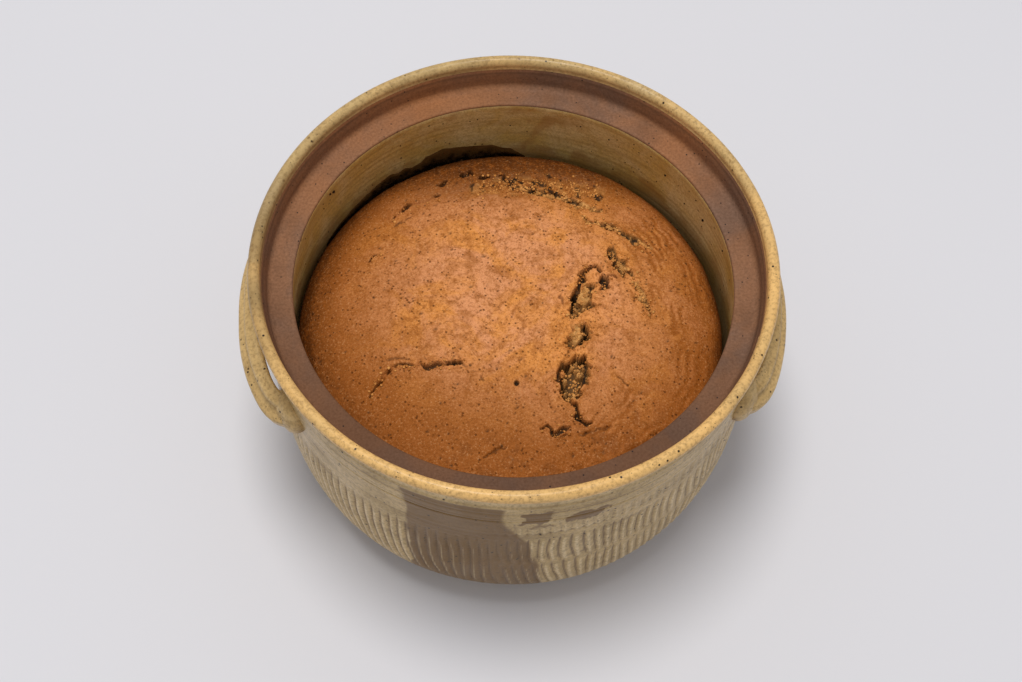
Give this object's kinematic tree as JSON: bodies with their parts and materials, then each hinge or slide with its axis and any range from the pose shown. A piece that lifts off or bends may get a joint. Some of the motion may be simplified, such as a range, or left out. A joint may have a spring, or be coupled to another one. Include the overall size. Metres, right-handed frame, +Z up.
{
  "type": "apple pudding baked in a stoneware pot",
  "caption": "Round apple pudding risen to a low cracked dome, in its glazed stoneware casserole pot with strap handles and an open lid seat.",
  "frame": {"origin": "middle of the foot ring's underside, where the pot stands", "axes": "+Z up out of the pot; the two handles lie on the X axis; -Y faces the viewer"},
  "size_m": [0.2582, 0.24, 0.1415],
  "materials": {
    "glazed_stoneware": "olive-tan ash glaze with iron specks, gloss on the rim bead, matt brown bare clay on the lid seat and foot",
    "baked_pudding": "baked sponge crust, warm brown mottled with ochre, fine pores, moist crumb in the cracks"
  },
  "bodies": {
    "root": {"pot": "glazed_stoneware", "pudding": "baked_pudding"}
  },
  "joints": []
}
